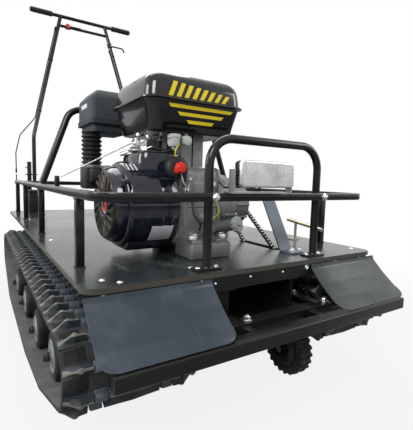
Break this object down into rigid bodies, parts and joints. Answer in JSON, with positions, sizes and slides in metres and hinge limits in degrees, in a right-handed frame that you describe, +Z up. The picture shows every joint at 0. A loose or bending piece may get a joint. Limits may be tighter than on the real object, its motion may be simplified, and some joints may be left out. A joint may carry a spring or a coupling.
{
  "type": "tracked snow tug",
  "caption": "Motor tug on two rubber tracks with a railed load deck, open petrol engine, headlamp, chain drive and an upright folding handlebar.",
  "frame": {"origin": "on the ground, under the centre of the machine's bounding box", "axes": "+Z up, the front faces -Y, the driver's left is +X"},
  "size_m": [1.008, 2, 1.6445],
  "materials": {
    "belt_rubber": "matte",
    "black_plastic": "matte",
    "engine_metal": "matte",
    "film_board": "satin",
    "frame_paint": "satin",
    "gloss_black": "gloss",
    "lens": "clear",
    "plate_paint": "satin",
    "shroud_paint": "gloss",
    "steel": "satin",
    "wheel_rubber": "matte"
  },
  "bodies": {
    "chassis": {"air_filter": "black_plastic", "brace_strip": "frame_paint", "bumper_frame": "frame_paint", "carburettor": "engine_metal", "crankcase": "engine_metal", "cylinder": "engine_metal", "deck_frame": "frame_paint", "deck_plate": "film_board", "drive_axle": "wheel_rubber", "drive_chain": "steel", "fan_housing": "shroud_paint", "front_bumper": "frame_paint", "front_flange": "frame_paint", "front_hoop": "frame_paint", "front_plate_left": "plate_paint", "front_plate_right": "plate_paint", "fuel_tank": "gloss_black", "gear_case": "engine_metal", "guide_wheel": "wheel_rubber", "handlebar_sockets": "frame_paint", "intake_duct": "black_plastic", "keel_left": "frame_paint", "keel_right": "frame_paint", "lamp_bracket": "steel", "output_sprocket": "steel", "rail_posts": "frame_paint", "rear_axle": "wheel_rubber", "rear_box": "black_plastic", "rear_hoop": "frame_paint", "recoil_cover": "shroud_paint", "side_lever": "steel", "silencer": "steel", "switch_box": "black_plastic", "tank_cap": "black_plastic", "tank_legs": "engine_metal", "top_rail": "frame_paint", "tow_hitch": "frame_paint", "track_left": "belt_rubber", "track_right": "belt_rubber", "wheel_sets": "wheel_rubber"},
    "handlebar_body": {"handlebar": "frame_paint", "grips": "wheel_rubber", "brake_lever": "steel"},
    "lamp": {"lamp_body": "black_plastic", "lamp_lens": "lens"}
  },
  "joints": [
    {"name": "handlebar_fold", "type": "hinge", "parent": "chassis", "child": "handlebar_body", "pos_m": [0, 0.845, 0.622], "axis": [1, 0, 0], "range_deg": [-20, 50]},
    {"name": "lamp_tilt", "type": "hinge", "parent": "chassis", "child": "lamp", "pos_m": [0, -0.889, 0.632], "axis": [1, 0, 0], "range_deg": [-15, 15]}
  ]
}
